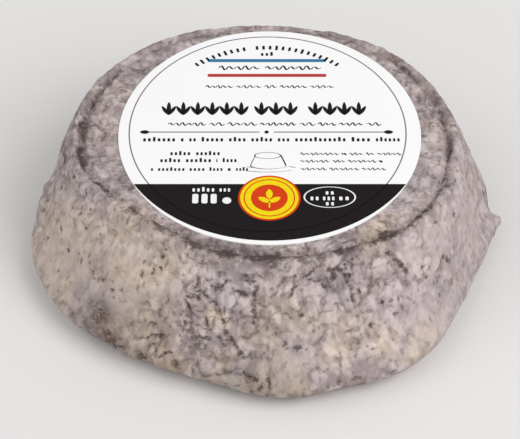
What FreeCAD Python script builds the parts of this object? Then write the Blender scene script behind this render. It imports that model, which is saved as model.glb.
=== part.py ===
"""Selles-sur-cher goat cheese: a hand-moulded, ash-rinded truncated cone that carries a round paper label.

Millimetres. X runs left to right, -Y is the front, Z is up; the origin is the middle of the
footprint on the table. Every ring of the rind is one function of direction, and the cheese is a loft
through those rings, so the belly, the flats and the sharp foot corner are all named lobes below.
"""
import math
import os

import FreeCAD
import Part

# Overall sizes of the cheese
FOOT_RADIUS = 44.2          # plain radius of the foot, before its lobes
TOP_RADIUS = 36.2           # radius of the crease around the top face, before its lobes
TOP_HEIGHT = 25.9           # height of the flat top face
RIM_LIFT = 0.12             # how far the soft rim stands above the top face, before its lobes
CREASE_DEPTH = 0.3          # how far the crease dips below the top face, before its lobes

# Heights of the rings
FOOT_HEIGHT = 4.4           # level of the widest part of the foot
LEDGE_HEIGHT = 5.9          # the foot's sharp corner ends below this level
BELLY_HEIGHT = 9.0
WAIST_HEIGHT = 17.0
SHOULDER_HEIGHT = 22.0

# How the foot rolls under: the flat footprint's edge, then two rings on the roll
FOOT_ROLL = 5.4             # footprint edge, measured in from the widest part
UNDER_IN = 3.2
UNDER_HEIGHT = 0.75
TUCK_IN = 1.4
TUCK_HEIGHT = 2.2

# How the flank rises: each ring is a blend of the foot's and the shoulder's radius
BELLY_SHARE = 0.80          # share of the foot's radius in the belly ring
WAIST_SHARE = 0.38          # share of the foot's radius in the waist ring
FLANK_HOLLOW = 0.55         # how far the flank is drawn in between foot and shoulder
LEDGE_IN = 0.1              # how far the ledge is drawn in from the foot
LEDGE_CORNER = 0.2          # share of the sharp corner left at the ledge

# Widths of the rounded rim, measured out from the crease
SHOULDER_OUT = 3.5
BEVEL_OUT = 2.2
RIM_OUT = 1.1
BEVEL_DROP = 0.7            # the bevel ring sits this far below the top face
GROOVE_HALF = 1.3           # crease to the edge of the flat top face
BACK_NARROWING = 0.5        # share by which the rim is narrower at the back

# The paper label
LABEL_RADIUS = 29.5
LABEL_THICKNESS = 0.25
LABEL_OFFSET_X = 0.8
LABEL_OFFSET_Y = 1.15

# How finely each ring is sampled
STEP_DEGREES = 3.0

# Lobes are (direction in degrees, spread in degrees, push outwards in mm).
# Direction 0 is the right side, 90 the back, 180 the left side and 270 the front.
LEFT_BELLY = (205.0, 24.0, 3.2)
LEFT_CHEEK = (192.0, 10.0, 0.6)
FRONT_SWELL = (276.0, 15.0, 2.8)
FRONT_RIGHT_SWELL = (305.0, 18.5, 4.0)
RIGHT_HEEL = (7.0, 7.0, 0.8)
FOOT_LOBES = (LEFT_BELLY, LEFT_CHEEK, FRONT_SWELL, FRONT_RIGHT_SWELL, RIGHT_HEEL)

RIGHT_CORNER = (357.6, 4.0, 2.5)   # the sharp corner pressed out of the foot, below the ledge
CORNER_SKIRT = (350.0, 7.5, 0.8)   # the foot's run up to that corner
CORNER_LOBES = (RIGHT_CORNER, CORNER_SKIRT)

LEFT_FLAKE = (182.0, 4.5, 1.3)     # a scuffed flake that stands out above the left belly
RIGHT_CHEEK = (14.0, 15.0, 0.6)    # the swelling behind the foot corner
BELLY_LOBES = (LEFT_FLAKE, RIGHT_CHEEK)

BACK_FLAT = (90.0, 36.0, -4.4)
FRONT_FLAT = (268.0, 30.0, -4.9)
FRONT_LEFT_FLAT = (228.0, 24.0, -4.4)
FRONT_RIGHT_FLAT = (302.0, 15.0, -1.9)
LEFT_FLAT = (206.0, 12.0, -1.0)
BACK_RIGHT_FLAT = (38.0, 30.0, -1.5)
BACK_LEFT_FLAT = (134.0, 24.0, -0.8)
TOP_LOBES = (BACK_FLAT, FRONT_FLAT, FRONT_LEFT_FLAT, FRONT_RIGHT_FLAT,
             LEFT_FLAT, BACK_RIGHT_FLAT, BACK_LEFT_FLAT)

# The crease is deep only where the curd slumped away from the top face
LEFT_SLUMP = (172.0, 30.0, 0.75)
RIGHT_SLUMP = (4.0, 24.0, 0.5)
FRONT_SLUMP = (262.0, 20.0, 0.45)
FRONT_RIGHT_SLUMP = (318.0, 20.0, 0.4)
SLUMP_LOBES = (LEFT_SLUMP, RIGHT_SLUMP, FRONT_SLUMP, FRONT_RIGHT_SLUMP)

# The rim stands a little proud in three places
RIM_LOBES = ((128.0, 36.0, 0.22), (20.0, 26.0, 0.2), (292.0, 34.0, 0.14))


def lobe_push(direction, lobe):
    """Return the outward push of one lobe at a direction, a smooth bell about its centre."""
    centre, spread, push = lobe
    away = math.remainder(direction - centre, 360.0)
    return push * math.exp(-(away / spread) ** 2)


def lobed_radius(radius, lobes, direction):
    """Return a plain radius with all its lobes added at a direction."""
    return radius + sum(lobe_push(direction, lobe) for lobe in lobes)


def blend(outer, inner, share):
    """Return a radius between two others, `share` of the way towards the outer one."""
    return inner + (outer - inner) * share


def rim_share(direction):
    """Return the rim width at a direction as a share of its full width."""
    return 1.0 - BACK_NARROWING * math.exp(-(math.remainder(direction - 90.0, 360.0) / 50.0) ** 2)


def ring_table(direction):
    """Return the rings of the rind at one direction, from footprint to top face, as (radius, height)."""
    foot = lobed_radius(FOOT_RADIUS, FOOT_LOBES, direction)
    corner = lobed_radius(0.0, CORNER_LOBES, direction)
    edge = foot + corner
    crease = lobed_radius(TOP_RADIUS, TOP_LOBES, direction)
    shoulder = crease + SHOULDER_OUT
    waist = blend(foot, shoulder, WAIST_SHARE) - FLANK_HOLLOW
    belly = lobed_radius(blend(foot, shoulder, BELLY_SHARE) - FLANK_HOLLOW, BELLY_LOBES, direction)
    depth = lobed_radius(CREASE_DEPTH, SLUMP_LOBES, direction)
    lift = lobed_radius(RIM_LIFT, RIM_LOBES, direction)
    share = rim_share(direction)
    return (
        (edge - FOOT_ROLL, 0.0),
        (edge - UNDER_IN, UNDER_HEIGHT),
        (edge - TUCK_IN, TUCK_HEIGHT),
        (edge, FOOT_HEIGHT),
        (foot - LEDGE_IN + LEDGE_CORNER * corner, LEDGE_HEIGHT),
        (belly, BELLY_HEIGHT),
        (waist, WAIST_HEIGHT),
        (shoulder, SHOULDER_HEIGHT),
        (crease + BEVEL_OUT * share, TOP_HEIGHT - BEVEL_DROP),
        (crease + RIM_OUT * share, TOP_HEIGHT + lift),
        (crease, TOP_HEIGHT - depth * share),
        (crease - GROOVE_HALF * share, TOP_HEIGHT),
    )


def ring_wire(level):
    """Return one closed smooth wire through the given ring, all the way round."""
    points = []
    count = int(round(360.0 / STEP_DEGREES))
    for step in range(count):
        direction = step * STEP_DEGREES
        radius, height = ring_table(direction)[level]
        turn = math.radians(direction)
        points.append(FreeCAD.Vector(radius * math.cos(turn), radius * math.sin(turn), height))
    curve = Part.BSplineCurve()
    curve.interpolate(Points=points, PeriodicFlag=True, Parameters=[float(n) for n in range(count + 1)])
    return Part.Wire([curve.toShape()])


def make_cheese():
    """Return the whole cheese as one solid lofted through its rings."""
    wires = [ring_wire(level) for level in range(len(ring_table(0.0)))]
    return Part.makeLoft(wires, True, False)


def make_label():
    """Return the round paper label, lying flat on the top face."""
    centre = FreeCAD.Vector(LABEL_OFFSET_X, LABEL_OFFSET_Y, TOP_HEIGHT)
    return Part.makeCylinder(LABEL_RADIUS, LABEL_THICKNESS, centre)


def main():
    """Build both solids, centre them on the table and write one STEP file each."""
    cheese = make_cheese()
    label = make_label()
    box = cheese.optimalBoundingBox()
    shift = FreeCAD.Vector(-(box.XMin + box.XMax) / 2.0, -(box.YMin + box.YMax) / 2.0, 0.0)
    os.makedirs("parts", exist_ok=True)
    for name, shape in (("cheese", cheese), ("label", label)):
        shape.translate(shift)
        shape.exportStep("parts/" + name + ".step")


main()
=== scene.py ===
"""An ash-rinded goat cheese with its round paper label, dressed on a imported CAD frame.

The frame gives every place and size. Each piece has its own operator: the rind, the label paper,
the inks printed on it, and the stage with its floor, lamps and camera.
"""

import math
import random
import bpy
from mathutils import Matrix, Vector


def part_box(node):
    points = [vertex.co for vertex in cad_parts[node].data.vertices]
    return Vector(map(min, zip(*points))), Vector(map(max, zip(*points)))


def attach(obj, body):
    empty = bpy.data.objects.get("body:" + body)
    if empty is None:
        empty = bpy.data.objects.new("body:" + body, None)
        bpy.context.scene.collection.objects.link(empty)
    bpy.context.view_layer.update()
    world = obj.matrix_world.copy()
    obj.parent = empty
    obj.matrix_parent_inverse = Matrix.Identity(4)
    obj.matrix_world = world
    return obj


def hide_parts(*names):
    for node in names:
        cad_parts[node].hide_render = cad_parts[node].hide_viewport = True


bl_info = {
    "name": "Ash-Rinded Goat Cheese",
    "version": (1, 0, 0),
    "blender": (4, 5, 0),
    "location": "3D View > Sidebar > Cheese",
    "description": "Builds a hand-moulded goat cheese with a mouldy rind and a printed paper label",
    "category": "Add Mesh",
}

import bmesh
import bpy
import numpy as np
from bpy.props import FloatProperty, FloatVectorProperty, IntProperty
from mathutils import Matrix, Vector, noise
from mathutils.bvhtree import BVHTree

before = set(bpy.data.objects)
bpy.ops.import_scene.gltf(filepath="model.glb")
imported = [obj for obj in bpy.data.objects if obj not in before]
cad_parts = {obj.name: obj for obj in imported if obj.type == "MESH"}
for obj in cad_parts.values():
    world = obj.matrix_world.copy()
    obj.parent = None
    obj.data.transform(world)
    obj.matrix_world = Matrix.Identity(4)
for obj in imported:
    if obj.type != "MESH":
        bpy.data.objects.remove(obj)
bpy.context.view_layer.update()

MM = 0.001
LABEL_LOW, LABEL_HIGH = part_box("label")
LABEL_CENTRE = (LABEL_LOW + LABEL_HIGH) / 2
LABEL_RADIUS = (LABEL_HIGH.x - LABEL_LOW.x) / 2
TOP_HEIGHT = LABEL_LOW.z          # the flat top face, on which the paper lies
PAPER_TOP = LABEL_HIGH.z

# The main dark cracks, each a run of (direction in degrees, height in mm) with a width in mm
MAIN_CRACKS = (
    (((247, 21), (249, 19), (246, 18)), 0.60),
    (((250, 19), (254, 18), (257, 15)), 0.50),
    (((248, 11), (253, 11)), 0.60),
    (((258, 13), (259, 12), (263, 10)), 0.65),
    (((262, 23), (266, 22), (265, 19), (266, 16)), 0.60),
    (((275, 12), (280, 11.5)), 0.40),
    (((289, 24), (292, 24), (295, 22), (295, 18)), 0.50),
    (((309, 24), (313, 20)), 0.75),
    (((325, 16), (327, 17), (330, 14)), 0.45),
    (((270, 9), (270, 6)), 0.40),
)

# Patches strewn with short cracks, and with specks: (direction, height in mm, spread in mm, how many)
CRACKED_PATCHES = (
    (250, 19, 5, 6), (253, 12, 5, 5), (280, 22, 4, 4), (290, 22, 5, 5), (266, 6, 4, 3),
    (238, 9, 4, 4), (120, 15, 9, 8), (60, 14, 9, 7), (16, 20, 7, 5), (176, 22, 5, 4),
)
SPECKED_PATCHES = (
    (232, 21, 5, 6), (195, 18, 8, 9), (222, 14, 7, 7), (236, 9, 5, 6), (303, 17, 8, 8),
    (325, 18, 8, 6), (280, 10, 7, 5), (100, 17, 12, 10), (150, 13, 9, 8), (40, 12, 10, 8),
)

# Stretches of the crease that gape deep, with painted shade along them: (direction, spread in degrees,
# strength)
CREASE_GAPES = (
    (172, 9, 0.75), (184, 9, 0.95), (199, 9, 0.85), (214, 9, 0.60), (228, 9, 0.65), (242, 8, 0.75),
    (254, 7, 0.95), (268, 9, 1.0), (284, 7, 0.60), (298, 8, 0.80), (311, 8, 1.0), (326, 9, 0.80),
    (342, 9, 0.65), (357, 8, 0.70), (18, 10, 0.45), (38, 9, 0.60), (70, 16, 0.45), (112, 18, 0.50),
    (150, 12, 0.60),
)

# Brown stains low on the foot: (direction, height in mm, spread in mm)
BROWN_STAINS = (
    (223, 8, 3.2), (227, 6, 2.2), (232, 6, 1.6), (236, 6, 1.6), (246, 6, 1.2), (240, 9, 1.0),
    (118, 8, 3.0),
)

# Warm tan patches, patches with many dark veins, and patches of cream mould, given likewise
TAN_PATCHES = ((243, 6.4, 2.6), (60, 7.0, 3.6))
VEINED_PATCHES = (
    (252, 17.0, 6.0), (266, 18.0, 7.0), (254, 11.0, 5.0), (286, 22.0, 6.0), (300, 21.0, 5.0),
    (176, 24.0, 6.0), (120, 16.0, 9.0), (60, 18.0, 8.0), (16, 24.0, 6.0),
)
CREAM_CENTRES = (
    (196, 12, 8), (207, 17, 7), (207, 6, 8), (224, 19, 7), (215, 24, 6), (235, 22, 5), (236, 10, 8),
    (276, 18, 5), (287, 11, 5), (300, 10, 4), (308, 6, 5), (276, 5, 5), (257, 7, 4), (268, 5, 5),
    (254, 16, 3), (270, 13, 4), (248, 4, 5), (311, 29, 4), (150, 10, 10), (40, 8, 10), (92, 13, 9),
)

# Smooth patches, with few channels and little relief: (direction, height in mm, spread in mm)
CALM_PATCHES = (
    (203, 12, 11), (222, 16, 9), (345, 14, 14), (328, 20, 8), (318, 7, 11), (276, 9, 6),
    (150, 12, 10), (60, 10, 9), (95, 14, 9),
)

# Flakes that stand proud of the flank, or dents where the rise is below zero:
# (direction, height in mm, spread in mm, rise in mm)
FLAKES = (
    (180, 14, 1.4, 1.0), (183, 12, 1.2, 1.1), (186, 10, 1.1, 0.6), (231, 3, 1.6, 0.5),
    (0.7, 4.4, 0.8, 0.45), (358, 3.7, 1.4, -1.1), (3.6, 5.4, 1.2, -0.6), (20, 12, 2.0, 0.4),
)

# Paler and darker patches of mould: (direction, height in mm, spread in mm, how much paler, below zero
# darker)
# The darker patches low on the foot are painted shade where the foot tucks under; the rest are the mould's
# own tone
TONES_AND_FOOT_SHADE = (
    (196, 12, 5, 0.08), (203, 25, 5, 0.22), (219, 24, 6, 0.18), (231, 18, 5, 0.10),
    (243, 23, 4, 0.20), (247, 14, 5, 0.14), (253, 19, 5, 0.09), (269, 18, 4, 0.17),
    (280, 23, 4, 0.12), (288, 11, 5, 0.14), (262, 13, 5, 0.06), (299, 12, 5, 0.16),
    (314, 23, 5, 0.10), (314, 17, 5, 0.18), (327, 26, 5, 0.16), (340, 26, 4, 0.12),
    (345, 16, 8, -0.02), (320, 6, 6, 0.06), (352, 29, 5, 0.10), (14, 29, 6, 0.16),
    (60, 14, 8, 0.06), (150, 19, 7, 0.07), (208, 9, 5, -0.06), (218, 7, 5, -0.20),
    (228, 6, 5, -0.22), (232, 11, 4, -0.18), (243, 7, 5, -0.24), (260, 7, 5, -0.22),
    (267, 6, 5, -0.30), (278, 5, 5, -0.18), (249, 20, 4, -0.04), (291, 22, 4, -0.08),
    (325, 8, 5, -0.12), (160, 31, 5, -0.06), (120, 14, 8, -0.08), (30, 7, 6, -0.10),
)

# Painted shade in dark patches, most of them beside the crease: (direction, height in mm counted on over the
# top, spread in mm)
CREASE_SHADE_PATCHES = (
    (266, 29.0, 2.2), (272, 26.8, 2.0), (258, 26.8, 1.6), (246, 27.2, 1.5), (309, 26.8, 1.6),
    (317, 27.0, 1.4), (205, 27.0, 2.6), (234, 28.5, 2.0), (250, 28.0, 1.6), (302, 29.0, 1.6),
    (329, 27.0, 1.8), (343, 27.0, 1.6), (14, 27.0, 2.2), (44, 26.5, 2.4), (80, 27.0, 2.2),
    (128, 27.0, 2.6), (160, 27.5, 2.4),
)


def polar(direction, radius, height):
    """Return the point at a direction in degrees and a radius round the vertical axis."""
    turn = math.radians(direction)
    return Vector((radius * math.cos(turn), radius * math.sin(turn), height))


def bell(distance, spread):
    """Return a smooth bell that falls from one at no distance to nearly nothing at twice the spread."""
    return math.exp(-(distance / spread) ** 2)


def ease(value, low, high):
    """Return a smooth step from zero at low to one at high."""
    share = min(max((value - low) / (high - low), 0.0), 1.0)
    return share * share * (3.0 - 2.0 * share)


# ---------------------------------------------------------------- settings

def length_setting(name, description, default):
    """Return a setting that holds a length."""
    return FloatProperty(name=name, description=description, default=default, subtype="DISTANCE")


def colour_setting(name, description, default):
    """Return a setting that holds a colour."""
    return FloatVectorProperty(name=name, description=description, default=default, subtype="COLOR", size=3)


class RindSettings(bpy.types.PropertyGroup):
    """Sizes and colours of the rind."""

    around: IntProperty(name="Columns", description="How many columns the rind has all the way round",
                        default=720, min=90)
    row_step: length_setting("Row Step", "Height of one row on the flank", 0.34 * MM)
    lump_depth: length_setting("Lumps", "Height of the broad hand-moulded lumps", 0.34 * MM)
    wrinkle_depth: length_setting("Wrinkles", "Depth of the channels between the puffs of mould",
                                  0.30 * MM)
    grain_depth: length_setting("Grain", "Height of the fine grain of the mould", 0.10 * MM)
    crack_depth: length_setting("Cracks", "Depth of the dark cracks", 0.45 * MM)
    grey: colour_setting("Ash Grey", "Colour of the ash-grey mould", (0.335, 0.274, 0.276))
    cream: colour_setting("Cream", "Colour of the cream mould", (0.436, 0.349, 0.276))
    bloom: colour_setting("Bloom", "Colour of the pale bloom on the grey mould", (0.528, 0.453, 0.452))
    cream_bloom: colour_setting("Cream Bloom", "Colour of the pale bloom on the cream mould",
                                (0.592, 0.493, 0.408))
    # The crack colour is also that of the painted shade in and beside the crease
    crack_and_crease_shade: colour_setting("Crack", "Colour of the cracks and specks", (0.078, 0.054, 0.052))
    stain: colour_setting("Stain", "Colour of the brown stains on the foot", (0.125, 0.088, 0.072))
    tan: colour_setting("Tan", "Colour of the warm tan patches", (0.52, 0.37, 0.27))


class LabelSettings(bpy.types.PropertyGroup):
    """Sizes and colours of the paper label and its inks."""

    ink: length_setting("Ink", "Thickness of one layer of ink", 0.018 * MM)
    paper: colour_setting("Paper", "Colour of the paper", (0.965, 0.965, 0.965))
    black: colour_setting("Black Ink", "Colour of the band and the words", (0.010, 0.007, 0.008))
    deep: colour_setting("Deep Ink", "Colour of the thin ring where it crosses the band",
                         (0.001, 0.0005, 0.001))
    violet: colour_setting("Violet Ink", "Colour of the thin ring", (0.24, 0.13, 0.25))
    blue: colour_setting("Blue Ink", "Colour of the upper stripe", (0.04, 0.20, 0.37))
    red: colour_setting("Red Ink", "Colour of the lower stripe", (0.52, 0.045, 0.045))
    yellow: colour_setting("Yellow Ink", "Colour of the roundel", (0.95, 0.74, 0.004))
    orange: colour_setting("Orange Ink", "Colour of the middle of the roundel", (0.72, 0.052, 0.003))


class StageSettings(bpy.types.PropertyGroup):
    """The floor, the lamps and the camera."""

    floor: colour_setting("Floor", "Colour of the plain floor", (0.80, 0.79, 0.78))
    world: FloatProperty(name="World", description="Strength of the even light all round", default=0.515)
    key: FloatProperty(name="Key Lamp", description="Power of the large soft lamp",
                       default=6.9, unit="POWER")
    fill: FloatProperty(name="Fill Lamp", description="Power of the soft lamp on the left",
                        default=2.45, unit="POWER")
    distance: length_setting("Camera Distance", "From the camera to the point it looks at", 0.540)
    elevation: FloatProperty(name="Camera Elevation", description="Angle of the camera above the floor",
                             default=math.radians(46.5), subtype="ANGLE")
    aim: FloatVectorProperty(name="Aim", description="Point the camera looks at", subtype="XYZ", size=3,
                             default=(-1.72 * MM, 2.31 * MM, 2.2 * MM))
    lens: FloatProperty(name="Lens", description="Focal length on a 36 mm sensor", default=185.8)


# ---------------------------------------------------------------- finishes

class Finish:
    """One material and short calls that add its nodes."""

    def __init__(self, name):
        self.material = bpy.data.materials.new(name)
        self.material.use_nodes = True
        self.nodes = self.material.node_tree.nodes
        self.links = self.material.node_tree.links
        self.shader = self.nodes["Principled BSDF"]
        self.object_place = self.nodes.new("ShaderNodeTexCoord").outputs["Object"]

    def feed(self, socket, value):
        """Link a socket, or set a plain value on an input, where a colour gets full alpha."""
        if isinstance(value, bpy.types.NodeSocket):
            self.links.new(value, socket)
        elif hasattr(value, "__len__"):
            socket.default_value = (tuple(value) + (1.0,))[:len(socket.default_value)]
        else:
            socket.default_value = value

    def attribute(self, name, output="Fac"):
        """Return a value stored on the mesh."""
        node = self.nodes.new("ShaderNodeAttribute")
        node.attribute_name = name
        return node.outputs[output]

    def noise(self, size, detail=2.0, roughness=0.5, place=None, shift=0.0):
        """Return cloudy noise whose features are about `size` across, in metres."""
        node = self.nodes.new("ShaderNodeTexNoise")
        node.inputs["Scale"].default_value = 1.0 / size
        node.inputs["Detail"].default_value = detail
        node.inputs["Roughness"].default_value = roughness
        place = place or self.object_place
        if shift:
            move = self.nodes.new("ShaderNodeVectorMath")
            move.inputs[1].default_value = (shift, shift * 0.7, -shift)
            self.links.new(place, move.inputs[0])
            place = move.outputs[0]
        self.links.new(place, node.inputs["Vector"])
        return node.outputs["Fac"]

    def math(self, operation, first, second, clamp=False):
        """Return one of the plain operations on two values."""
        node = self.nodes.new("ShaderNodeMath")
        node.operation = operation
        node.use_clamp = clamp
        self.feed(node.inputs[0], first)
        self.feed(node.inputs[1], second)
        return node.outputs[0]

    def add(self, first, second, clamp=False):
        """Return the sum of two values."""
        return self.math("ADD", first, second, clamp)

    def times(self, first, second, clamp=False):
        """Return the product of two values."""
        return self.math("MULTIPLY", first, second, clamp)

    def most(self, first, second, clamp=False):
        """Return the greater of two values."""
        return self.math("MAXIMUM", first, second, clamp)

    def pits(self, size, place, core, edge, rarity):
        """Return soft round spots, at most one to a cell, in only some of the cells."""
        node = self.nodes.new("ShaderNodeTexVoronoi")
        node.inputs["Scale"].default_value = 1.0 / size
        node.inputs["Randomness"].default_value = 0.9
        self.links.new(place, node.inputs["Vector"])
        parts = self.nodes.new("ShaderNodeSeparateColor")
        self.links.new(node.outputs["Color"], parts.inputs[0])
        spot = self.step(node.outputs["Distance"], core, edge, 1.0, 0.0)
        spot = self.times(spot, self.math("GREATER_THAN", parts.outputs[0], rarity))
        return self.times(spot, self.step(parts.outputs[1], 0.0, 1.0, 0.45, 1.0))

    def grey(self, value):
        """Return a grey of the given value."""
        node = self.nodes.new("ShaderNodeCombineColor")
        for channel in range(3):
            self.links.new(value, node.inputs[channel])
        return node.outputs[0]

    def step(self, value, low, high, to_low=0.0, to_high=1.0):
        """Return a smooth step of a value from one range to another."""
        node = self.nodes.new("ShaderNodeMapRange")
        node.interpolation_type = "SMOOTHSTEP"
        self.feed(node.inputs["Value"], value)
        node.inputs["From Min"].default_value = low
        node.inputs["From Max"].default_value = high
        node.inputs["To Min"].default_value = to_low
        node.inputs["To Max"].default_value = to_high
        return node.outputs["Result"]

    def mix(self, share, first, second, blend="MIX"):
        """Return one colour blended over another by a share."""
        node = self.nodes.new("ShaderNodeMix")
        node.data_type = "RGBA"
        node.blend_type = blend
        self.feed(node.inputs["Factor"], share)
        self.feed(node.inputs[6], first)
        self.feed(node.inputs[7], second)
        return node.outputs[2]

    def bump(self, height, distance, strength):
        """Return a normal bent by a height."""
        node = self.nodes.new("ShaderNodeBump")
        node.inputs["Distance"].default_value = distance
        node.inputs["Strength"].default_value = strength
        self.links.new(height, node.inputs["Height"])
        return node.outputs["Normal"]


# Sizes of the features in the mould
BROAD_SIZE, PATCH_SIZE = 9 * MM, 3.0 * MM
STREAK_SIZE, FLUFF_SIZE = 1.5 * MM, 1.3 * MM
RAGGED_SIZE, GRAIN_SIZE = 0.75 * MM, 0.55 * MM

# What a smooth patch loses of its relief and shade, how dark the channels, pits and thin channels get,
# and how strongly each kind of mark, and the painted shade by the crease, covers the mould
CALM_LOSS = 0.65
CHANNEL_DARK, PIT_DARK, WORM_DARK = 0.70, 0.80, 0.42
CREASE_SHADE_SHARE, TAN_SHARE, STAIN_SHARE, CRACK_AND_CREASE_SHADE_SHARE = 0.75, 0.45, 1.25, 0.92


def dark_marks(finish, flow, ragged, lively):
    """Return how dark the channels, pits, cracks and the painted shade along the crease make each place, from
    zero to one.
    """
    add, times, most, step = finish.add, finish.times, finish.most, finish.step
    veined = finish.attribute("veined")
    puff = add(finish.attribute("puff"), step(ragged, 0.25, 0.75, -0.08, 0.08))
    keep = add(finish.noise(2.2 * MM, 1.0, 0.5, shift=0.071), times(veined, 0.10))
    channel = times(step(puff, 0.0, 0.32, 1.0, 0.0), step(keep, 0.52, 0.62))
    channel = times(channel, lively)

    worm = add(finish.attribute("worm"), step(ragged, 0.25, 0.75, -0.05, 0.05))
    keep = add(finish.noise(1.9 * MM, 1.0, 0.5, shift=0.093), times(veined, 0.08))
    worm = times(step(worm, 0.02, 0.24, 1.0, 0.0), step(keep, 0.53, 0.62))
    worm = times(worm, lively)

    many = add(finish.noise(5.0 * MM, 1.0, shift=0.023), times(veined, 0.10))
    small = finish.pits(1.25 * MM, flow, 0.02, 0.46, 0.50)
    large = finish.pits(2.2 * MM, finish.object_place, 0.05, 0.25, 0.25)
    pits = times(most(small, large), step(many, 0.40, 0.58, 0.45, 1.0))

    # The cracks come with the crease's dark line, which is painted shade
    crack_and_crease_shade = add(finish.attribute("crack_and_crease_shade"), step(ragged, 0.25, 0.75, -0.34, 0.28))
    crack_and_crease_shade = step(crack_and_crease_shade, 0.18, 1.0)
    dark = most(times(channel, CHANNEL_DARK), times(pits, PIT_DARK))
    dark = most(dark, times(worm, WORM_DARK))
    return most(dark, crack_and_crease_shade, clamp=True)


def rind_finish(settings):
    """Return the mottled grey and cream mould with its dark cracks, pits and stains."""
    finish = Finish("rind_mould")
    add, times, most, step = finish.add, finish.times, finish.most, finish.step
    flow = finish.attribute("flow", "Vector")
    relief = finish.attribute("relief")
    calm = finish.attribute("calm")
    lively = finish.math("SUBTRACT", 1.0, times(calm, CALM_LOSS))
    broad = finish.noise(BROAD_SIZE, 3.0, 0.55)
    patches = finish.noise(PATCH_SIZE, 3.0, 0.55, shift=0.013)
    streaks = finish.noise(STREAK_SIZE, 2.0, 0.5, place=flow)
    fluff = finish.noise(FLUFF_SIZE, 2.0, 0.5, shift=0.041)
    grain = finish.noise(GRAIN_SIZE, 2.0, 0.6, shift=0.031)
    ragged = finish.noise(RAGGED_SIZE, 2.0, 0.6, shift=0.017)

    # Grey and cream mould in broad patches, with a paler bloom grown over them in small ones
    cream = add(finish.attribute("cream"), step(broad, 0.36, 0.66, -0.24, 0.22))
    cream = times(cream, step(patches, 0.25, 0.65, 0.7, 1.0), clamp=True)
    bloom = add(step(patches, 0.40, 0.62, -0.10, 0.65), step(streaks, 0.38, 0.64, -0.20, 0.25))
    bloom = add(bloom, step(relief, 0.10, 0.50, -0.15, 0.35), clamp=True)
    bloom = add(times(bloom, lively), times(calm, 0.50))
    mould = finish.mix(cream, settings.grey, settings.cream)
    grown = finish.mix(cream, settings.bloom, settings.cream_bloom)
    # The shade multiplier: the streaks, fluff and grain are the mould's own uneven tone, and the relief term
    # is
    # painted shade in the channels between the puffs; the stored tone adds paler and darker patches, those
    # low on the foot painted shade
    shade = add(step(streaks, 0.30, 0.55, -0.11, 0.02), step(fluff, 0.28, 0.60, -0.09, 0.02))
    shade = add(shade, step(relief, 0.0, 0.35, -0.11, 0.03))
    shade = times(add(shade, step(grain, 0.32, 0.62, -0.03, 0.02)), lively)
    shade = add(shade, add(finish.attribute("tone"), 1.05))
    colour = finish.mix(1.0, finish.mix(bloom, mould, grown), finish.grey(shade), "MULTIPLY")

    # Painted shade in and beside the crease, tan patches and brown stains over the mould, and the dark marks
    # over them all
    crease_shade = most(times(finish.attribute("crease_shade"), 0.9), finish.attribute("shade"))
    crease_shade = times(crease_shade, step(fluff, 0.30, 0.66, 1.0, 0.45))
    colour = finish.mix(times(crease_shade, CREASE_SHADE_SHARE), colour, settings.crack_and_crease_shade)
    colour = finish.mix(times(finish.attribute("tan"), TAN_SHARE), colour, settings.tan)
    stain = times(finish.attribute("stain"), step(ragged, 0.30, 0.65, 0.45, 1.0))
    colour = finish.mix(times(stain, STAIN_SHARE, clamp=True), colour, settings.stain)
    dark = dark_marks(finish, flow, ragged, lively)
    colour = finish.mix(times(dark, CRACK_AND_CREASE_SHADE_SHARE), colour, settings.crack_and_crease_shade)

    finish.feed(finish.shader.inputs["Base Color"], colour)
    finish.feed(finish.shader.inputs["Roughness"], step(fluff, 0.3, 0.7, 0.82, 0.96))
    finish.shader.inputs["Specular IOR Level"].default_value = 0.2
    height = add(times(streaks, 0.5), times(fluff, 0.5))
    height = times(add(height, times(grain, 0.12)), lively)
    height = finish.math("SUBTRACT", height, times(dark, 0.5))
    finish.feed(finish.shader.inputs["Normal"], finish.bump(height, 0.45 * MM, 0.9))
    return finish.material


def paper_finish(settings):
    """Return smooth white label paper with a faint fibre."""
    finish = Finish("label_paper")
    fibre = finish.noise(0.7 * MM, 3.0, 0.6)
    cloud = finish.noise(14 * MM, 2.0)
    tone = finish.times(finish.step(fibre, 0.3, 0.7, 0.985, 1.0), finish.step(cloud, 0.3, 0.7, 0.99, 1.0))
    colour = finish.mix(tone, tuple(0.5 * value for value in settings.paper), settings.paper)
    finish.feed(finish.shader.inputs["Base Color"], colour)
    finish.feed(finish.shader.inputs["Roughness"], finish.step(fibre, 0.3, 0.7, 0.55, 0.65))
    finish.shader.inputs["Specular IOR Level"].default_value = 0.3
    finish.feed(finish.shader.inputs["Normal"], finish.bump(fibre, 0.02 * MM, 0.5))
    return finish.material


def ink_finish(name, colour):
    """Return a printed ink whose tone varies a little with the paper under it."""
    finish = Finish(name)
    lay = finish.noise(0.5 * MM, 3.0, 0.6)
    deep = tuple(0.88 * value for value in colour)
    tone = finish.mix(finish.step(lay, 0.3, 0.7), deep, tuple(colour))
    finish.feed(finish.shader.inputs["Base Color"], tone)
    finish.feed(finish.shader.inputs["Roughness"], finish.step(lay, 0.3, 0.7, 0.42, 0.55))
    finish.shader.inputs["Specular IOR Level"].default_value = 0.15
    return finish.material


def add_piece(name, mesh_builder, material, node):
    """Turn a bmesh into a finished piece that rides on the cheese and stands for a CAD node."""
    mesh = bpy.data.meshes.new(name)
    mesh_builder.to_mesh(mesh)
    mesh_builder.free()
    mesh.materials.append(material)
    piece = bpy.data.objects.new(name, mesh)
    bpy.context.scene.collection.objects.link(piece)
    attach(piece, "root")
    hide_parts(node)


# ---------------------------------------------------------------- rind

OUTSIDE, ABOVE = 70 * MM, 60 * MM       # a radius and a height that the cheese stays well within


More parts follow.
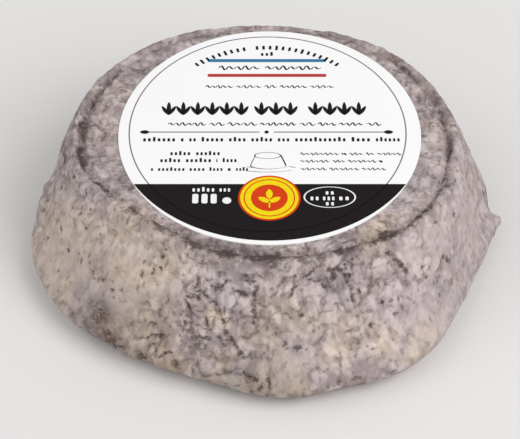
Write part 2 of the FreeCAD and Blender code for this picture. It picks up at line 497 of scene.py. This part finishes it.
class Form:
    """The cheese's plain form, read from a merged copy of its CAD node."""

    def __init__(self):
        copy = bmesh.new()
        copy.from_mesh(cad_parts["cheese"].data)
        bmesh.ops.remove_doubles(copy, verts=copy.verts, dist=0.001 * MM)
        self.tree = BVHTree.FromBMesh(copy)
        copy.free()
        self.sides = {}

    def side_radius(self, direction, height):
        """Return the radius of the side at a direction in degrees and a height."""
        outside = polar(direction, OUTSIDE, height)
        hit = self.tree.ray_cast(outside, Vector((-outside.x, -outside.y, 0)).normalized())[0]
        if hit is None:
            raise RuntimeError("no side at %.1f degrees, %.2f mm up" % (direction, height / MM))
        return math.hypot(hit.x, hit.y)

    def top_height(self, direction, radius):
        """Return the height of the top at a direction in degrees and a radius."""
        hit = self.tree.ray_cast(polar(direction, radius, ABOVE), Vector((0, 0, -1)))[0]
        if hit is None:
            raise RuntimeError("no top at %.1f degrees, %.2f mm out" % (direction, radius / MM))
        return hit.z

    def side_at(self, direction, height):
        """Return side_radius, remembered, as many columns ask for the same one."""
        key = (round(direction, 3), height)
        if key not in self.sides:
            self.sides[key] = self.side_radius(direction, height)
        return self.sides[key]


BEVEL_HEIGHT = TOP_HEIGHT - 0.7 * MM    # where the flank's rows end and the top's rows begin
SOLE_HEIGHT = 0.05 * MM                 # the lowest row of the side
SOLE_TUCK = 0.25 * MM                   # how far the sole's edge lies inside that row
PLAIN_SIDE = 44 * MM                    # radius of the plain shape before it takes the cheese's form
PLAIN_SOLE = 0.92 * PLAIN_SIDE
PLAIN_RIM = 38 * MM
RIM_ZONE = 7.2 * MM                     # width of the densely rowed ring inside the bevel
CREASE_INSET = 2.2 * MM                 # from the bevel to the bottom of the crease
CREASE_REACH = 3.0 * MM                 # how far down the flank the shade of the crease can reach
FLOW_RADIUS = 40 * MM                   # the grain of the mould is laid out on a drum of this radius
FLANK_STRETCH, TOP_STRETCH = 0.5, 1.4   # below one, the grain is drawn out from foot to crease
DEGREES_PER_MM = 1.4                    # degrees of direction in one millimetre along the flank
CRACK_LENGTH, SPECK_LENGTH = 2.2, 0.3   # average lengths of what is strewn, in mm
STREWN_LOW, STREWN_HIGH = 1.0, 24.8     # heights in mm between which it is strewn
DRAW_SEED = 11
NOISE_SEED = 1                          # without a seed noise_vector starts from the clock

# The patches of each mark that is stored on the mesh under a name of its own; one of them holds painted shade
# beside the crease
MARK_PATCHES = {"stain": BROWN_STAINS, "tan": TAN_PATCHES, "cream": CREAM_CENTRES, "veined": VEINED_PATCHES,
                "crease_shade": CREASE_SHADE_PATCHES, "calm": CALM_PATCHES}

# Reach and size of the noise that frays the small marks, the broad ones, and the two kinds of channels
SMALL_WOBBLE = (0.5 * MM, 1.6 * MM)
BROAD_WOBBLE = (2.2 * MM, 5 * MM)
PUFF_WOBBLE = (0.9 * MM, 1.9 * MM)
WORM_WOBBLE = (0.5 * MM, 1.1 * MM)
WORM_SHIFT = Vector((0.02, 0, 0))       # so that the thin channels don't follow the broad ones
PUFF_SIZE, WORM_SIZE, SPECKLE_SIZE = 3.2 * MM, 1.7 * MM, 0.8 * MM
LUMP_SIZE, SMALL_LUMP_SIZE = 11 * MM, 5.5 * MM


def profile_rows(row_step):
    """Return the plain profile from the middle of the sole to the middle of the top, as (radius, height)."""
    rows = [(share * PLAIN_SOLE, 0.0) for share in (0.0, 0.25, 0.5, 0.75, 0.92, 1.0)]
    height, step = SOLE_HEIGHT, 0.12 * MM
    while height < BEVEL_HEIGHT:
        rows.append((PLAIN_SIDE, height))
        height += step
        step = min(step * 1.2, row_step)
    inset = 0.0
    while inset < RIM_ZONE:
        rows.append((PLAIN_RIM - inset, TOP_HEIGHT))
        inset += 0.3 * MM
    rows += [(share * (PLAIN_RIM - RIM_ZONE), TOP_HEIGHT) for share in (0.98, 0.9, 0.72, 0.5, 0.25, 0.0)]
    return rows


def spun_shell(row_step, around):
    """Return a closed shell: the plain profile's chain of edges spun round the vertical axis."""
    shell = bmesh.new()
    rows = profile_rows(row_step)
    last = shell.verts.new((rows[0][0], 0, rows[0][1]))
    for radius, height in rows[1:]:
        grown = bmesh.ops.extrude_vert_indiv(shell, verts=[last])["verts"]
        grown[0].co = (radius, 0, height)
        last = grown[0]
    bmesh.ops.spin(shell, geom=shell.verts[:] + shell.edges[:], cent=(0, 0, 0), axis=(0, 0, 1),
                   angle=math.tau, steps=around, use_merge=True)
    bmesh.ops.remove_doubles(shell, verts=shell.verts, dist=0.0005 * MM)
    return shell


def take_form(shell, form):
    """Move each point of the plain shell onto the cheese's form; return each point's (direction, inset)."""
    facts = []
    for vert in shell.verts:
        radius, height = math.hypot(vert.co.x, vert.co.y), vert.co.z
        direction = math.degrees(math.atan2(vert.co.y, vert.co.x)) % 360.0
        if height < 0.5 * SOLE_HEIGHT:
            sole = form.side_at(direction, SOLE_HEIGHT) - SOLE_TUCK
            vert.co = polar(direction, radius / PLAIN_SOLE * sole, 0.0)
            facts.append((direction, None))
        elif height < BEVEL_HEIGHT:
            vert.co = polar(direction, form.side_radius(direction, height), height)
            facts.append((direction, None))
        else:
            rim = form.side_at(direction, BEVEL_HEIGHT)
            inset = PLAIN_RIM - radius
            if inset < RIM_ZONE:
                out = rim - inset
            else:
                out = radius / (PLAIN_RIM - RIM_ZONE) * (rim - RIM_ZONE)
            vert.co = polar(direction, out, form.top_height(direction, max(out, 0.01 * MM)))
            facts.append((direction, inset))
    return facts


def billow(place, size, power=0.75):
    """Return puffy noise: zero along thin winding channels, high on the puffs between them."""
    return abs(noise.noise(place / size)) ** power


def seam_field(points, paths, form):
    """Return how strongly each point lies in one of the cracks, from zero to one."""
    field = np.zeros(len(points))
    for run, width in paths:
        ends = [polar(direction, form.side_radius(direction, height * MM), height * MM)
                for direction, height in run]
        for first, second in zip(ends, ends[1:]):
            along = np.array(second - first)
            share = np.clip((points - np.array(first)) @ along / (along @ along), 0.0, 1.0)
            away = np.linalg.norm(points - (np.array(first) + share[:, None] * along), axis=1)
            field = np.maximum(field, np.clip(1.0 - away / (1.7 * width * MM), 0.0, 1.0))
    return field


def patch_field(points, patches, form):
    """Return how strongly each point lies in one of the round patches, from zero to one.

    A height above the bevel counts on inwards over the top, as if the flank were folded up straight.
    """
    field = np.zeros(len(points))
    for direction, height, spread in patches:
        radius = form.side_radius(direction, min(height * MM, BEVEL_HEIGHT))
        radius -= max(height * MM - BEVEL_HEIGHT, 0.0)
        centre = np.array(polar(direction, radius, min(height * MM, TOP_HEIGHT)))
        away = np.linalg.norm(points - centre, axis=1)
        field = np.maximum(field, np.exp(-(away / (spread * MM)) ** 2))
    return field


def sum_field(points, tones, form):
    """Return the sum of all patches at each point, each patch with a strength of its own."""
    return sum(strength * patch_field(points, ((direction, height, spread),), form)
               for direction, height, spread, strength in tones)


def strewn(patches, length, draw):
    """Return short cracks strewn over patches, each a run of two (direction, height) with a width in mm."""
    cracks = []
    for direction, height, spread, count in patches:
        for _ in range(count):
            across, up = draw.gauss(0, 0.5 * spread), draw.gauss(0, 0.5 * spread)
            lean, reach = draw.uniform(0, math.tau), length * draw.uniform(0.5, 1.5)
            ends = ((across, up), (across + reach * math.cos(lean), up + reach * math.sin(lean)))
            run = tuple((direction + DEGREES_PER_MM * x, min(max(height + y, STREWN_LOW), STREWN_HIGH))
                        for x, y in ends)
            cracks.append((run, draw.uniform(0.35, 0.55)))
    return tuple(cracks)


def gape(direction):
    """Return how wide the crease gapes at a direction, from zero to one."""
    total = 0.0
    for centre, spread, strength in CREASE_GAPES:
        total = max(total, strength * bell(math.remainder(direction - centre, 360.0), spread))
    return total


def crease_at(place, direction, fold):
    """Return the crease at a point: its groove, its dark line and the shade round it, both painted shade, and
    its soft crest.

    The fold is the way inwards over the top from the bevel, below zero on the flank.
    """
    if fold <= -CREASE_REACH:
        return 0.0, 0.0, 0.0, 0.0
    wide = gape(direction)
    front = max(0.0, -math.sin(math.radians(direction)))
    inwards = fold - CREASE_INSET + 0.6 * MM * noise.noise(place / (3 * MM))
    patchy = wide * (1.0 + (0.8 + 0.1 * front) * noise.noise(place / (1.4 * MM)))
    groove = max(0.0, 1.0 - abs(inwards) / (1.1 * MM)) * patchy * (1.0 - 0.8 * front)

    # The dark line is painted shade in the crease; in front it is broader, and more so outwards, over the
    # crest
    if inwards > 0:
        slope = (0.60 + 0.50 * front) * MM
        reach = (0.9 + 0.7 * wide + 0.9 * bell(math.remainder(direction - 262, 360.0), 24)) * MM
    else:
        slope = (0.60 + 1.10 * front) * MM
        reach = (1.5 + 0.7 * wide + 1.2 * noise.noise(place / (2.6 * MM))) * MM
    line = min(max(1.45 - abs(inwards) / slope, 0.0), 1.0) * patchy * (1.0 + 0.25 * front)
    shade = wide * (0.7 + 0.3 * front) * bell(inwards, reach * (0.6 + 0.4 * front))
    crest = 0.30 * MM * bell(inwards + 1.2 * MM, 1.3 * MM) * noise.noise(place / (1.9 * MM))
    crest += (0.35 * front + 0.35 * (1.0 - wide)) * MM * bell(inwards, 0.9 * MM)
    return groove, line, shade, crest


def freedom(place, inset):
    """Return how freely a point may leave the plain form: not at all on the floor or under the paper."""
    free = ease(place.z, 0.0, 1.6 * MM)
    if inset is not None and inset > 0.5 * CREASE_INSET:
        from_label = math.hypot(place.x - LABEL_CENTRE.x, place.y - LABEL_CENTRE.y) - LABEL_RADIUS
        free *= ease(from_label, 0.1 * MM, 1.2 * MM)
    return free


def wobbled(place, reach, size):
    """Return a point moved a little by noise, so that what is measured from it gets a ragged edge."""
    return place + reach * noise.noise_vector(place / size)


class CHEESE_OT_rind(bpy.types.Operator):
    """Build the mouldy rind over the cheese's form"""

    bl_idname = "cheese.rind"
    bl_label = "Rind"

    def execute(self, context):
        settings = context.scene.cheese_rind
        form = Form()
        shell = spun_shell(settings.row_step, settings.around)
        facts = take_form(shell, form)
        bmesh.ops.recalc_face_normals(shell, faces=shell.faces)
        shell.normal_update()

        noise.seed_set(NOISE_SEED)
        draw = random.Random(DRAW_SEED)
        short_cracks = strewn(CRACKED_PATCHES, CRACK_LENGTH, draw)
        specks = strewn(SPECKED_PATCHES, SPECK_LENGTH, draw)
        near = np.array([wobbled(vert.co, *SMALL_WOBBLE) for vert in shell.verts])
        far = np.array([wobbled(vert.co, *BROAD_WOBBLE) for vert in shell.verts])
        cracks = seam_field(near, MAIN_CRACKS + short_cracks + specks, form)
        flakes = sum_field(near, FLAKES, form) * MM
        marks = {name: patch_field(far, patches, form) for name, patches in MARK_PATCHES.items()}
        # The tone holds paler and darker patches of the mould, and painted shade low on the foot
        marks["tone"] = sum_field(far, TONES_AND_FOOT_SHADE, form)

        layers = shell.verts.layers
        names = ("puff", "worm", "relief", "crack_and_crease_shade", "shade", *marks)
        store = {name: layers.float.new(name) for name in names}
        flow = layers.float_vector.new("flow")
        moved = []
        for index, vert in enumerate(shell.verts):
            direction, inset = facts[index]
            place = vert.co.copy()
            free = freedom(place, inset)
            puff = billow(wobbled(place, *PUFF_WOBBLE), PUFF_SIZE)
            worm = billow(wobbled(place, *WORM_WOBBLE) + WORM_SHIFT, WORM_SIZE, 1.0)
            puffs = 0.60 * puff + 0.40 * worm
            grain = noise.noise(place / SPECKLE_SIZE)
            lumps = noise.noise(place / LUMP_SIZE) + 0.5 * noise.noise(place / SMALL_LUMP_SIZE)
            fold = place.z - BEVEL_HEIGHT if inset is None else inset
            groove, line, shade, crest = crease_at(place, direction, fold)
            # The crease's dark line, which is painted shade, is stored with the real cracks
            seam_and_crease_shade = min(max(cracks[index], line), 1.0)
            groove = min(max(cracks[index], groove), 1.0)

            rise = settings.wrinkle_depth * (puffs - 0.35) + settings.grain_depth * grain
            rise = rise * (1.0 - 0.6 * marks["calm"][index]) + settings.lump_depth * lumps + flakes[index]
            rise += crest - settings.crack_depth * groove * groove
            moved.append(place + vert.normal * rise * free)
            vert[store["puff"]] = puff
            vert[store["worm"]] = worm
            vert[store["relief"]] = puffs
            vert[store["shade"]] = shade
            vert[store["crack_and_crease_shade"]] = seam_and_crease_shade * ease(free, 0.0, 0.4)
            for name, field in marks.items():
                vert[store[name]] = field[index]
            climb = FLANK_STRETCH * (place.z if inset is None else BEVEL_HEIGHT)
            climb += TOP_STRETCH * (inset or 0.0)
            vert[flow] = polar(direction, FLOW_RADIUS, climb)
        for vert, place in zip(shell.verts, moved):
            vert.co = place
        for face in shell.faces:
            face.smooth = True
        add_piece("rind", shell, rind_finish(settings), "cheese")
        return {"FINISHED"}


# ---------------------------------------------------------------- label

def only_verts(parts):
    """Return the vertices among the parts of a mesh."""
    return [part for part in parts if isinstance(part, bmesh.types.BMVert)]


class LabelPress:
    """Lays flat shapes on the label, in millimetres from its centre, as thin layers of ink."""

    def __init__(self, ink, layer):
        self.shapes = bmesh.new()
        self.low = PAPER_TOP + (layer - 1.5) * ink
        self.thick = 1.5 * ink

    def lay(self, flat):
        """Thicken one flat shape upwards, place it on the label and keep it."""
        faces = flat.faces[:]
        grown = bmesh.ops.extrude_face_region(flat, geom=faces)["geom"]
        bmesh.ops.translate(flat, verts=only_verts(grown), vec=(0, 0, 1))
        bmesh.ops.scale(flat, vec=(MM, MM, self.thick), verts=flat.verts)
        bmesh.ops.translate(flat, verts=flat.verts, vec=(LABEL_CENTRE.x, LABEL_CENTRE.y, self.low))
        bmesh.ops.recalc_face_normals(flat, faces=flat.faces)
        mesh = bpy.data.meshes.new("stamp")
        flat.to_mesh(mesh)
        flat.free()
        self.shapes.from_mesh(mesh)
        bpy.data.meshes.remove(mesh)

    def disc(self, x, y, radius, squash=1.0, segments=64):
        """Lay a round or oval disc."""
        flat = bmesh.new()
        bmesh.ops.create_circle(flat, cap_ends=True, radius=radius, segments=segments)
        bmesh.ops.scale(flat, vec=(1, squash, 1), verts=flat.verts)
        bmesh.ops.translate(flat, verts=flat.verts, vec=(x, y, 0))
        self.lay(flat)

    def flat_ring(self, x, y, radius, width, squash=1.0, segments=128):
        """Return a thin round or oval ring, still flat."""
        flat = bmesh.new()
        bmesh.ops.create_circle(flat, radius=radius, segments=segments)
        bmesh.ops.create_circle(flat, radius=radius - width, segments=segments)
        bmesh.ops.bridge_loops(flat, edges=flat.edges[:])
        bmesh.ops.scale(flat, vec=(1, squash, 1), verts=flat.verts)
        bmesh.ops.translate(flat, verts=flat.verts, vec=(x, y, 0))
        return flat

    def ring(self, x, y, radius, width, squash=1.0, segments=128):
        """Lay a thin round or oval ring."""
        self.lay(self.flat_ring(x, y, radius, width, squash, segments))

    def bar(self, x, y, width, height, turn=0.0, about=(0.0, 0.0)):
        """Lay a bar with rounded corners, centred at a point, and turned about another."""
        flat = bmesh.new()
        bmesh.ops.create_grid(flat, x_segments=1, y_segments=1, size=0.5)
        bmesh.ops.scale(flat, vec=(width, height, 1), verts=flat.verts)
        bmesh.ops.bevel(flat, geom=flat.verts[:], offset=0.3 * min(width, height), affect="VERTICES",
                        segments=3, profile=0.5, material=-1)
        bmesh.ops.translate(flat, verts=flat.verts, vec=(x, y, 0))
        if turn:
            bmesh.ops.rotate(flat, verts=flat.verts, cent=(about[0], about[1], 0),
                             matrix=Matrix.Rotation(turn, 3, "Z"))
        self.lay(flat)

    def words(self, left, y, height, lengths, gap):
        """Lay rows of small upright marks that stand for a line of words."""
        for word, length in enumerate(lengths):
            count = max(1, round(length / (1.05 * height)))
            pitch = length / count
            for mark in range(count):
                tall = height * (1.4 if (3 * mark + 2 * word) % 5 == 1 else 1.0)
                self.bar(left + pitch * (mark + 0.5), y + 0.5 * (tall - height), 0.52 * pitch, tall)
            left += length + gap

    def pen(self, points, width, slant=0.4):
        """Lay a stroke of a broad pen held at a slant along a run of points."""
        flat = bmesh.new()
        last = flat.verts.new((points[0][0], points[0][1], 0))
        for x, y in points[1:]:
            last = bmesh.ops.extrude_vert_indiv(flat, verts=[last])["verts"][0]
            last.co = (x, y, 0)
        grown = bmesh.ops.extrude_edge_only(flat, edges=flat.edges[:])["geom"]
        nib = Vector((width, slant * width, 0))
        bmesh.ops.translate(flat, verts=only_verts(grown), vec=nib)
        self.lay(flat)

    def scrawl(self, left, y, lengths, height, gap, width, start):
        """Lay a line of waved strokes that stands for a line of handwriting."""
        for count, length in enumerate(lengths):
            waves = max(2, round(length / (height * 1.25)))
            points = []
            for step in range(waves * 8 + 1):
                share = step / (waves * 8)
                swell = 0.75 + 0.25 * math.sin(start + count * 2.1 + share * waves * 2.3)
                wave = 0.5 * height * swell * math.sin(share * waves * math.tau)
                points.append((left + length * share, y + wave))
            self.pen(points, width)
            left += length + gap

    def leaf(self, x, y, length, width, turn=0.0):
        """Lay a pointed leaf that stands on its stalk at a point."""
        flat = bmesh.new()
        bmesh.ops.create_circle(flat, cap_ends=True, radius=1.0, segments=24)
        for vert in flat.verts:
            along = vert.co.y
            half = 0.5 * width * math.sqrt(max(0.0, 1 - along * along)) ** 0.6
            vert.co = Vector((vert.co.x * half, (along + 1) * 0.5 * length, 0))
        bmesh.ops.rotate(flat, verts=flat.verts, cent=(0, 0, 0), matrix=Matrix.Rotation(turn, 3, "Z"))
        bmesh.ops.translate(flat, verts=flat.verts, vec=(x, y, 0))
        self.lay(flat)

    def finish(self, name, colour):
        """Make one piece of all that was laid, in an ink of one colour."""
        add_piece(name, self.shapes, ink_finish(name, colour), "label")


PAPER_ROUND = 0.06 * MM     # rounding of the paper's upper edge


class CHEESE_OT_paper(bpy.types.Operator):
    """Build the round paper label"""

    bl_idname = "cheese.paper"
    bl_label = "Label Paper"

    def execute(self, context):
        settings = context.scene.cheese_label
        disc = bmesh.new()
        bmesh.ops.create_circle(disc, cap_ends=True, radius=LABEL_RADIUS, segments=256)
        grown = bmesh.ops.extrude_face_region(disc, geom=disc.faces[:])["geom"]
        top = only_verts(grown)
        bmesh.ops.translate(disc, verts=top, vec=(0, 0, PAPER_TOP - TOP_HEIGHT))
        rim = [edge for edge in disc.edges if all(vert in top for vert in edge.verts)]
        bmesh.ops.bevel(disc, geom=rim, offset=PAPER_ROUND, affect="EDGES", segments=2, profile=0.5,
                        material=-1)
        bmesh.ops.translate(disc, verts=disc.verts, vec=(LABEL_CENTRE.x, LABEL_CENTRE.y, TOP_HEIGHT))
        bmesh.ops.recalc_face_normals(disc, faces=disc.faces)
        add_piece("paper", disc, paper_finish(settings), "label")
        return {"FINISHED"}


# Places on the label, in mm from its centre
BAND_TOP = -13.7                                # upper edge of the black band
BAND_RADIUS, BAND_RISE = 30.3, 1.8              # the band's lower edge is part of a circle a little higher up
RING_X, RING_Y, RING_RADIUS, RING_WIDTH = -0.4, 0.8, 27.1, 0.24
ARC_X, ARC_Y, ARC_RADIUS = -0.5, 2.4, 22.2      # the arched line of marks
ARC_START, ARC_STEP, ARC_COUNT, ARC_GAP = 39.0, 3.39, 24, 9
STRIPE_X, STRIPE_LONG, STRIPE_THICK = -0.5, 23.6, 0.85
RULE_X, RULE_Y = -0.6, 0.45
PICTURE_X = -0.4
SEAL_X, SEAL_Y = -0.1, -17.4
OVAL_X, OVAL_Y = 11.4, -17.2

# Rows of words: (left end, height up the label, size of a mark, lengths of the words, gap between them)
WORD_ROWS = (
    (-1.9, 22.6, 0.8, (2.8,), 0),
    (-24.8, -1.7, 0.85, (6.6, 0.9, 1.6, 4.6, 3.6, 4.4, 2.6, 10.2, 4.0, 5.0), 0.75),
    (-19.4, -5.5, 0.8, (4.2, 4.9), 0.8),
    (-21.3, -7.4, 0.8, (4.2, 5.2, 0.4, 3.0), 0.75),
    (-23.0, -9.8, 0.7, (0.7, 5.4, 3.2, 2.8, 1.0, 2.6), 0.65),
)
OVAL_WORD_ROWS = (
    (-1.0, 1.1, 0.85, (2.0,), 0),
    (-3.9, -0.35, 0.95, (2.0, 2.6, 2.4), 0.4),
    (-1.0, -1.75, 0.85, (2.0,), 0),
)

# Rows of handwriting: (left end, height up the label, lengths of the words, height of a wave, gap,
# width of the pen, start of the swell)
SCRAWL_ROWS = (
    (-10.2, 18.6, (8.0, 11.0), 1.3, 1.2, 0.34, 0.4),
    (-12.7, 13.2, (5.2, 5.0, 2.4, 5.2, 4.6), 0.9, 0.7, 0.24, 1.7),
    (-19.9, 2.6, (7.2, 3.0, 5.6, 7.0, 3.0, 3.4, 4.6, 2.8), 1.0, 0.7, 0.28, 2.6),
    (5.8, -5.6, (7.4, 0.9, 2.6, 1.6, 4.6), 0.75, 0.6, 0.2, 0.9),
    (5.8, -7.6, (5.6, 2.4, 5.4, 0.6), 0.75, 0.6, 0.2, 3.1),
    (5.8, -9.7, (5.0, 5.6, 4.6), 0.75, 0.6, 0.2, 4.4),
)

# The title's runs of sprigs: (how many, middle of the first)
SPRIG_RUNS = ((6, -19.8), (3, -1.6), (4, 9.0))
SPRIG_Y, SPRIG_PITCH = 5.2, 2.85


class CHEESE_OT_dark_inks(bpy.types.Operator):
    """Print the black band, the lines that stand for words and the thin violet ring"""

    bl_idname = "cheese.dark_inks"
    bl_label = "Dark Inks"

    def execute(self, context):
        settings = context.scene.cheese_label
        ring = LabelPress(settings.ink, 1)
        ring.ring(RING_X, RING_Y, RING_RADIUS, RING_WIDTH, segments=256)
        ring.finish("ink_violet", settings.violet)

        words = LabelPress(settings.ink, 2)
        flat = bmesh.new()
        bmesh.ops.create_circle(flat, cap_ends=True, radius=BAND_RADIUS, segments=256)
        bmesh.ops.translate(flat, verts=flat.verts, vec=(0, BAND_RISE, 0))
        self.keep_below_band_top(flat)
        words.lay(flat)
        self.print_words(words)
        self.print_picture(words)
        words.finish("ink_black", settings.black)

        line = LabelPress(settings.ink, 3)
        flat = line.flat_ring(RING_X, RING_Y, RING_RADIUS, RING_WIDTH, segments=256)
        self.keep_below_band_top(flat)
        line.lay(flat)
        line.finish("ink_deep", settings.deep)
        return {"FINISHED"}

    def keep_below_band_top(self, flat):
        """Cut away what lies above the upper edge of the band."""
        bmesh.ops.bisect_plane(flat, geom=flat.verts[:] + flat.edges[:] + flat.faces[:],
                               plane_co=(0, BAND_TOP, 0), plane_no=(0, 1, 0), clear_outer=True)

    def print_words(self, press):
        """Lay the arched line, the rows of words and sprigs, and the rules."""
        for step in range(ARC_COUNT):
            if step != ARC_GAP:
                tall = 1.35 if step % 4 == 1 else 1.1
                turn = math.radians(ARC_START - ARC_STEP * step)
                press.bar(ARC_X, ARC_Y + ARC_RADIUS, 0.5, tall, turn, about=(ARC_X, ARC_Y))
        for row in WORD_ROWS:
            press.words(*row)
        for row in SCRAWL_ROWS:
            press.scrawl(*row)
        for count, start in SPRIG_RUNS:
            for step in range(count):
                self.print_sprig(press, start + SPRIG_PITCH * step, SPRIG_Y)
        for side in (-1, 1):
            press.bar(RULE_X + side * 12.2, RULE_Y, 21.6, 0.2)
            press.leaf(RULE_X + side * 22.8, RULE_Y, 1.9, 1.0, turn=-side * math.pi / 2)
        press.disc(RULE_X, RULE_Y, 0.42, segments=24)

    def print_sprig(self, press, x, y):
        """Lay one upright sprig of three leaves."""
        press.leaf(x, y + 0.3, 3.4, 0.85)
        for side in (-1, 1):
            press.leaf(x, y, 2.9, 0.8, turn=-side * 0.50)

    def print_picture(self, press):
        """Lay a small line drawing of a low round cheese on a board."""
        press.ring(PICTURE_X, -6.0, 2.6, 0.2, squash=0.34, segments=48)
        for side in (-1, 1):
            press.pen([(PICTURE_X + side * 2.5, -6.1), (PICTURE_X + side * 3.4, -8.7)], 0.2, slant=0.9)
        turns = [math.pi + math.pi * step / 16 for step in range(17)]
        press.pen([(PICTURE_X + 3.4 * math.cos(turn), -8.7 + math.sin(turn)) for turn in turns], 0.2)
        press.pen([(-5.6, -9.4), (-4.4, -9.1), (-3.4, -9.3)], 0.16)
        press.pen([(2.9, -9.2), (3.8, -9.0), (4.8, -9.3)], 0.16)
        press.pen([(-4.6, -10.2), (-1.8, -10.5), (1.4, -10.5), (4.0, -10.1)], 0.18)


class CHEESE_OT_bright_inks(bpy.types.Operator):
    """Print the blue and red stripes, the white marks on the band and the yellow roundel"""

    bl_idname = "cheese.bright_inks"
    bl_label = "Bright Inks"

    def execute(self, context):
        settings = context.scene.cheese_label
        blue = LabelPress(settings.ink, 2)
        blue.bar(STRIPE_X, 20.8, STRIPE_LONG, STRIPE_THICK)
        blue.finish("ink_blue", settings.blue)

        white = LabelPress(settings.ink, 3)
        white.words(-15.0, -15.3, 0.85, (4.6, 2.4), 0.6)
        for step in range(3):
            white.bar(-14.2 + 1.75 * step, -17.6, 1.15, 2.5)
        white.disc(-8.2, -18.1, 0.85, segments=32)
        white.ring(OVAL_X, OVAL_Y, 5.0, 0.3, squash=0.56, segments=96)
        for left, rise, size, lengths, gap in OVAL_WORD_ROWS:
            white.words(OVAL_X + left, OVAL_Y + rise, size, lengths, gap)
        white.finish("ink_white", settings.paper)

        red = LabelPress(settings.ink, 2)
        red.bar(STRIPE_X, 16.5, STRIPE_LONG, STRIPE_THICK)
        red.finish("ink_red", settings.red)
        edge = LabelPress(settings.ink, 3)
        edge.disc(SEAL_X, SEAL_Y, 5.95, segments=96)
        edge.finish("ink_edge", settings.orange)
        yellow = LabelPress(settings.ink, 4)
        yellow.disc(SEAL_X, SEAL_Y, 5.55, segments=96)
        yellow.finish("ink_yellow", settings.yellow)
        orange = LabelPress(settings.ink, 5)
        orange.ring(SEAL_X, SEAL_Y, 4.9, 0.22, segments=96)
        orange.disc(SEAL_X, SEAL_Y, 3.5, segments=72)
        orange.finish("ink_orange", settings.orange)
        sprig = LabelPress(settings.ink, 6)
        sprig.leaf(SEAL_X, SEAL_Y - 0.3, 2.6, 1.3)
        for side in (-1, 1):
            sprig.leaf(SEAL_X, SEAL_Y - 1.2, 2.5, 1.2, turn=side * 1.0)
        sprig.bar(SEAL_X, SEAL_Y - 1.4, 0.28, 2.4)
        sprig.finish("ink_sprig", settings.yellow)
        return {"FINISHED"}


# ---------------------------------------------------------------- stage

class CHEESE_OT_stage(bpy.types.Operator):
    """Set up the plain floor, the soft lamps and the camera"""

    bl_idname = "cheese.stage"
    bl_label = "Stage"

    def execute(self, context):
        scene = context.scene
        settings = scene.cheese_stage
        self.add_floor(settings)
        self.add_lamp("key_lamp", settings.key, 0.8, (0.65, -0.40, 0.80))
        self.add_lamp("fill_lamp", settings.fill, 0.9, (-0.70, -0.30, 0.75))
        self.add_world(scene, settings)
        self.add_camera(scene, settings)
        scene.view_settings.view_transform = "Standard"
        return {"FINISHED"}

    def add_floor(self, settings):
        """Lay a wide plain floor under the cheese."""
        flat = bmesh.new()
        bmesh.ops.create_grid(flat, x_segments=1, y_segments=1, size=6.0)
        mesh = bpy.data.meshes.new("floor")
        flat.to_mesh(mesh)
        flat.free()
        finish = Finish("floor_plain")
        finish.feed(finish.shader.inputs["Base Color"], settings.floor)
        finish.shader.inputs["Roughness"].default_value = 0.9
        mesh.materials.append(finish.material)
        floor = bpy.data.objects.new("floor", mesh)
        bpy.context.scene.collection.objects.link(floor)

    def add_lamp(self, name, power, size, place):
        """Hang one square soft lamp that faces the cheese."""
        lamp = bpy.data.lights.new(name, "AREA")
        lamp.energy = power
        lamp.size = size
        light = bpy.data.objects.new(name, lamp)
        light.location = place
        light.rotation_euler = (Vector((0, 0, 0.01)) - Vector(place)).to_track_quat("-Z", "Y").to_euler()
        bpy.context.scene.collection.objects.link(light)

    def add_world(self, scene, settings):
        """Light the scene evenly from all round."""
        world = bpy.data.worlds.new("studio")
        world.use_nodes = True
        background = world.node_tree.nodes["Background"]
        background.inputs["Color"].default_value = (1, 1, 1, 1)
        background.inputs["Strength"].default_value = settings.world
        scene.world = world

    def add_camera(self, scene, settings):
        """Place the camera and make it the scene's."""
        lens = bpy.data.cameras.new("camera")
        lens.lens = settings.lens
        lens.sensor_width = 36.0
        lens.clip_start = 0.01
        aim = Vector(settings.aim)
        back = Vector((0, -math.cos(settings.elevation), math.sin(settings.elevation)))
        camera = bpy.data.objects.new("camera", lens)
        camera.location = aim + back * settings.distance
        camera.rotation_euler = (-back).to_track_quat("-Z", "Y").to_euler()
        scene.collection.objects.link(camera)
        scene.camera = camera


class CHEESE_PT_panel(bpy.types.Panel):
    """Lists the pieces of the cheese"""

    bl_idname = "CHEESE_PT_panel"
    bl_label = "Goat Cheese"
    bl_space_type = "VIEW_3D"
    bl_region_type = "UI"
    bl_category = "Cheese"

    def draw(self, context):
        for operator in OPERATORS:
            self.layout.operator(operator.bl_idname)
        for group in ("cheese_rind", "cheese_label", "cheese_stage"):
            settings = getattr(context.scene, group)
            box = self.layout.box()
            for key in type(settings).__annotations__:
                box.prop(settings, key)


OPERATORS = (CHEESE_OT_stage, CHEESE_OT_rind, CHEESE_OT_paper, CHEESE_OT_dark_inks, CHEESE_OT_bright_inks)
CLASSES = (RindSettings, LabelSettings, StageSettings) + OPERATORS + (CHEESE_PT_panel,)


def register():
    for cls in CLASSES:
        bpy.utils.register_class(cls)
    bpy.types.Scene.cheese_rind = bpy.props.PointerProperty(type=RindSettings)
    bpy.types.Scene.cheese_label = bpy.props.PointerProperty(type=LabelSettings)
    bpy.types.Scene.cheese_stage = bpy.props.PointerProperty(type=StageSettings)


def unregister():
    del bpy.types.Scene.cheese_rind, bpy.types.Scene.cheese_label, bpy.types.Scene.cheese_stage
    for cls in reversed(CLASSES):
        bpy.utils.unregister_class(cls)


def main():
    """Build every piece in order."""
    register()
    bpy.ops.cheese.stage()
    bpy.ops.cheese.rind()
    bpy.ops.cheese.paper()
    bpy.ops.cheese.dark_inks()
    bpy.ops.cheese.bright_inks()


if __name__ == "__main__":
    main()
